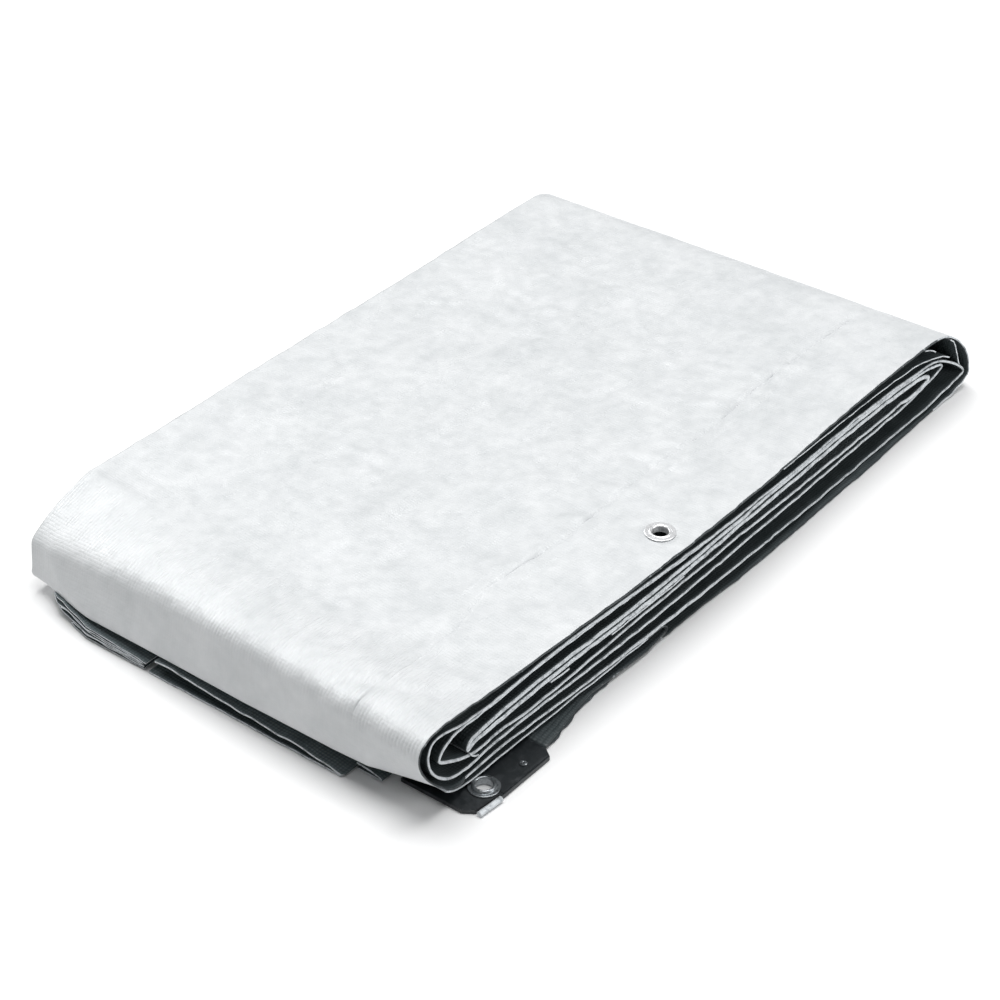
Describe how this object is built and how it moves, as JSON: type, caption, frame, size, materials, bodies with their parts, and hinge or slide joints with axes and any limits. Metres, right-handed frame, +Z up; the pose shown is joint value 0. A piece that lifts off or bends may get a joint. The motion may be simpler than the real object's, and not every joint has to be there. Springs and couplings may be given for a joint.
{
  "type": "folded tarpaulin",
  "caption": "Woven tarpaulin, silver outside and black inside, folded into a flat rectangular pack with an eyelet in its hem and a reinforced corner.",
  "frame": {"origin": "centre of the pack's footprint, on the surface it lies on", "axes": "+X along the pack from the front fold to the back fold, +Y across it away from the edge where the plies show, +Z up"},
  "size_m": [0.666, 0.3972, 0.0718],
  "materials": {
    "tarp_cloth": "coated woven polyethylene, satin silver outside and black inside",
    "bright_eyelet": "polished",
    "black_plastic": "satin",
    "dark_eyelet": "dark satin",
    "silver_film": "satin"
  },
  "bodies": {
    "root": {"tarp_sheet": "tarp_cloth", "top_hem": "tarp_cloth", "top_eyelet": "bright_eyelet", "corner_patch": "black_plastic", "corner_eyelet": "dark_eyelet", "corner_rivet": "dark_eyelet", "hem_roll": "silver_film"}
  },
  "joints": []
}
